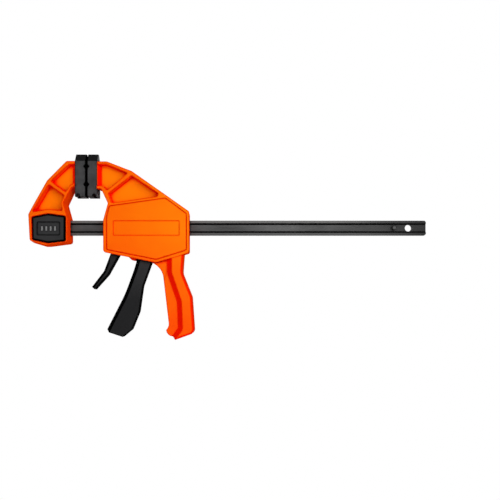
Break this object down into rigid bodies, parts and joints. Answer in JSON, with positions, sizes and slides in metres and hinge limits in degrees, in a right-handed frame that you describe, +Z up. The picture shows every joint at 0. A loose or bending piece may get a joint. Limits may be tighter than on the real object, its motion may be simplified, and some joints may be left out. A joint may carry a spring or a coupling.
{
  "type": "quick release bar clamp",
  "caption": "Trigger-operated bar clamp: squeezing the trigger walks the moving jaw along a steel bar towards the fixed jaw, and a small lever releases it.",
  "frame": {"origin": "centre of the moving pad's clamping face, between its two V grooves", "axes": "+X along the bar from the fixed jaw to the bar's free end, +Y away from the side that carries the release button and the front cover, +Z up from the handle to the jaws"},
  "size_m": [0.5916, 0.0392, 0.2768],
  "materials": {
    "orange_plastic": "satin moulded",
    "black_plastic": "satin moulded",
    "pad_rubber": "matte",
    "bar_steel": "dark satin",
    "bright_steel": "plain",
    "plate_steel": "dark oiled",
    "spring_steel": "drawn wire"
  },
  "bodies": {
    "housing": {"housing": "orange_plastic", "front_cover": "orange_plastic", "cover_screws": "bright_steel", "trigger_pin": "bright_steel", "moving_pad": "pad_rubber", "drive_spring": "spring_steel", "brake_spring": "spring_steel"},
    "bar": {"bar": "bar_steel", "bar_stop_pin": "plate_steel", "fixed_jaw": "orange_plastic", "jaw_back_cover": "orange_plastic", "back_cover_screws": "bright_steel", "fixed_pad": "pad_rubber"},
    "button": {"release_button": "black_plastic", "lock_yoke": "black_plastic", "lock_pin": "bright_steel", "button_springs": "spring_steel"},
    "trigger": {"trigger": "black_plastic"},
    "drive_plates": {"drive_plate_1": "plate_steel", "drive_plate_2": "plate_steel"},
    "brake": {"brake_plate": "plate_steel", "release_lever": "black_plastic"}
  },
  "joints": [
    {"name": "bar_slide", "type": "slide", "parent": "housing", "child": "bar", "axis": [-1, 0, 0], "range_m": [-0.0019, 0.3015]},
    {"name": "trigger_pull", "type": "hinge", "parent": "housing", "child": "trigger", "pos_m": [0.094, 0, -0.051], "axis": [0, -1, 0], "range_deg": [0, 14], "stiffness_Nm_per_rad": 1, "springref_deg": -17.19},
    {"name": "drive_advance", "type": "slide", "parent": "housing", "child": "drive_plates", "axis": [1, 0, 0], "range_m": [0, 0.0064], "deforming": ["drive_spring"]},
    {"name": "brake_release", "type": "hinge", "parent": "housing", "child": "brake", "pos_m": [0.0445, 0, -0.052], "axis": [0, -1, 0], "range_deg": [0, 7], "stiffness_Nm_per_rad": 0.5, "springref_deg": -17.19, "deforming": ["brake_spring"]},
    {"name": "button_push", "type": "slide", "parent": "bar", "child": "button", "axis": [0, 1, 0], "range_m": [0, 0.005], "stiffness_N_per_m": 600, "springref_m": -0.008, "deforming": ["button_springs"]}
  ],
  "couplings": [
    {"joint": "drive_advance", "follows": "trigger_pull", "m_per_rad": 0.026}
  ]
}
